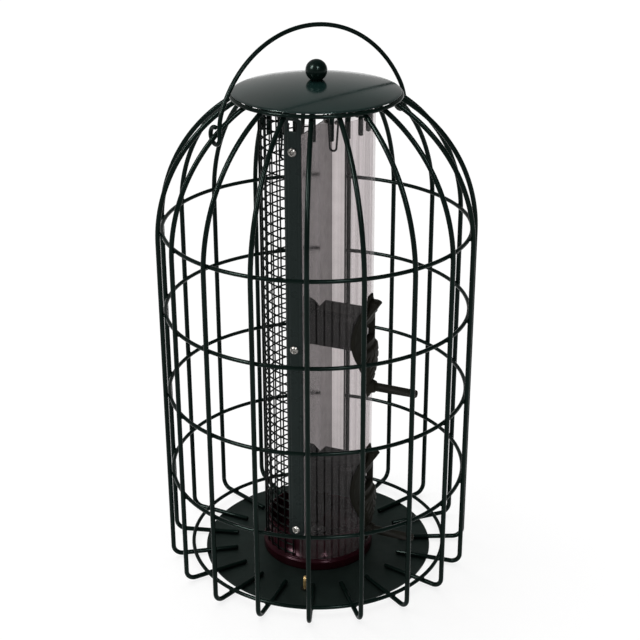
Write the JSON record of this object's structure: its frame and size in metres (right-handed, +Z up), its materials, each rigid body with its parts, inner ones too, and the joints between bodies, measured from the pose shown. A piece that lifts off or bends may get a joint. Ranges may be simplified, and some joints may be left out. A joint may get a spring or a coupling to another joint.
{
  "type": "squirrel proof bird feeder",
  "caption": "Domed wire cage round a tube feeder, half clear for seed with two ports and perches, half mesh for nuts, with a tray, a lift-up lid and a wire bail.",
  "frame": {"origin": "on the cage's axis, at the underside of the tray", "axes": "+Z up along the cage's axis, +X towards the seed ports, the nut mesh fills the -X half"},
  "size_m": [0.2221, 0.2215, 0.3935],
  "materials": {
    "cage_steel": "dark green powder coat, semi-gloss",
    "tray_steel": "dark green powder coat, satin",
    "lid_steel": "dark green powder coat, gloss",
    "bail_steel": "dark green powder coat, semi-gloss",
    "strip_steel": "dark grey-green powder coat, satin",
    "mesh_steel": "black coated wire",
    "divider_steel": "plain galvanised sheet",
    "screw_steel": "nickel plated",
    "clear_plastic": "clear, faintly smoky",
    "cup_plastic": "maroon, slightly translucent",
    "port_plastic": "brown-black, matt",
    "brass": "plain, slightly dull"
  },
  "bodies": {
    "cage": {"rib_01": "cage_steel", "rib_02": "cage_steel", "rib_03": "cage_steel", "rib_04": "cage_steel", "rib_05": "cage_steel", "rib_06": "cage_steel", "rib_07": "cage_steel", "rib_08": "cage_steel", "rib_09": "cage_steel", "rib_10": "cage_steel", "rib_11": "cage_steel", "rib_12": "cage_steel", "rib_13": "cage_steel", "rib_14": "cage_steel", "rib_15": "cage_steel", "rib_16": "cage_steel", "rib_17": "cage_steel", "rib_18": "cage_steel", "rib_19": "cage_steel", "cage_ring_1": "cage_steel", "cage_ring_2": "cage_steel", "cage_ring_3": "cage_steel", "cage_ring_4": "cage_steel", "foot_ring": "cage_steel", "top_ring": "cage_steel", "tray": "tray_steel", "tray_pin": "brass", "tray_pin_grommet": "port_plastic", "base_cup": "cup_plastic", "base_bolt": "screw_steel", "base_washer": "screw_steel", "base_nut": "screw_steel", "divider": "divider_steel", "clear_tube": "clear_plastic", "nut_mesh": "mesh_steel", "front_strip": "strip_steel", "rear_strip": "strip_steel", "front_strip_screws": "screw_steel", "rear_strip_screws": "screw_steel", "upper_port": "port_plastic", "upper_perch": "port_plastic", "upper_tunnel": "port_plastic", "lower_port": "port_plastic", "lower_perch": "port_plastic", "lower_tunnel": "port_plastic"},
    "lid": {"lid": "lid_steel", "lid_knob": "lid_steel", "knob_screw": "screw_steel", "lid_clip": "mesh_steel"},
    "bail": {"bail": "bail_steel"}
  },
  "joints": [
    {"name": "lid_lift", "type": "slide", "parent": "cage", "child": "lid", "axis": [0, 0, 1], "range_m": [0, 0.008]},
    {"name": "bail_swing", "type": "hinge", "parent": "cage", "child": "bail", "pos_m": [-0.00522, 0.00333, 0.33032], "axis": [0.5374, 0.8433, 0], "range_deg": [-72, 28]}
  ]
}
